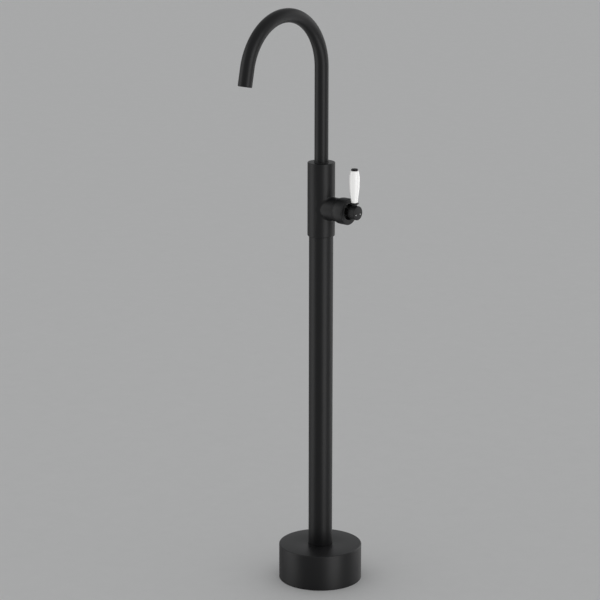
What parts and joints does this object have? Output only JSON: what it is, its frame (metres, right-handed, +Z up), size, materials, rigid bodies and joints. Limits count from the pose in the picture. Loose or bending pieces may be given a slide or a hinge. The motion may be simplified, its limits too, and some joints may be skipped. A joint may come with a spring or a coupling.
{
  "type": "floor standing bath filler",
  "caption": "Floor standing bath filler: gooseneck swivel spout on a round column and base, with a side lever that tilts for flow and turns for temperature.",
  "frame": {"origin": "centre of the base on the floor, on the column's axis", "axes": "+Z up along the column; the spout reaches towards -Y and the control points along +X"},
  "size_m": [0.1644, 0.3047, 1.103],
  "materials": {
    "matte_black": "fine-textured matte black powder coat",
    "black_rubber": "plain moulded rubber",
    "zinc_steel": "zinc plated steel",
    "cast_brass": "machined cast brass",
    "dark_brass": "blackened brass",
    "stainless": "plain stainless steel",
    "dark_screws": "black oxide steel",
    "copper": null,
    "black_plastic": "low friction acetal",
    "white_plastic": "glass filled cartridge plastic",
    "grey_plastic": "moulded acetal",
    "disc_ceramic": "lapped alumina",
    "pale_enamel": "pale enamel dot",
    "white_glaze": "gloss white glazed porcelain"
  },
  "bodies": {
    "column_assembly": {"floor_gasket": "black_rubber", "floor_plate": "zinc_steel", "inlet_hub": "cast_brass", "hub_screws": "stainless", "inlet_strainers": "stainless", "hot_supply_pipe": "copper", "cold_supply_pipe": "copper", "pipe_seals": "black_rubber", "column_tube": "matte_black", "column_lock_screws": "stainless", "base_cover": "matte_black", "cover_seal": "black_rubber", "valve_body": "matte_black", "body_lock_screws": "dark_screws", "spout_stop_screw": "dark_screws", "spout_bush": "black_plastic", "cartridge_gasket": "black_rubber", "cartridge_base": "white_plastic", "cartridge_casing": "white_plastic", "fixed_disc": "disc_ceramic", "cartridge_nut": "dark_brass", "cap_seal": "black_rubber", "control_cap": "matte_black"},
    "cartridge_turret": {"guide_ring": "grey_plastic", "pivot_pin": "stainless"},
    "disc_slide_group": {"moving_disc": "disc_ceramic", "disc_carrier": "grey_plastic"},
    "lever": {"stem": "dark_brass", "lever_hub": "matte_black", "hub_grub_screw": "dark_screws", "index_dots": "pale_enamel", "lever_ferrule": "matte_black", "lever_rod": "stainless", "grip_washers": "black_plastic", "ceramic_grip": "white_glaze", "grip_cap": "matte_black"},
    "spout": {"spout_nipple": "cast_brass", "spout_seals": "black_rubber", "spout_tube": "matte_black", "aerator_sleeve": "matte_black", "aerator_insert": "grey_plastic", "aerator_washer": "black_rubber"}
  },
  "joints": [
    {"name": "spout_swivel", "type": "hinge", "parent": "column_assembly", "child": "spout", "pos_m": [0, 0, 0.8092], "axis": [0, 0, 1], "range_deg": [-90, 90]},
    {"name": "temperature_turn", "type": "hinge", "parent": "column_assembly", "child": "cartridge_turret", "pos_m": [0.052, 0, 0.7247], "axis": [1, 0, 0], "range_deg": [-45, 45]},
    {"name": "flow_tilt", "type": "hinge", "parent": "cartridge_turret", "child": "lever", "pos_m": [0.052, 0, 0.7247], "axis": [0, 1, 0], "range_deg": [0, 18]},
    {"name": "disc_slide", "type": "slide", "parent": "cartridge_turret", "child": "disc_slide_group", "axis": [0, 0, 1], "range_m": [0, 0.0031]}
  ],
  "couplings": [
    {"joint": "disc_slide", "follows": "flow_tilt", "m_per_rad": 0.0098363}
  ]
}
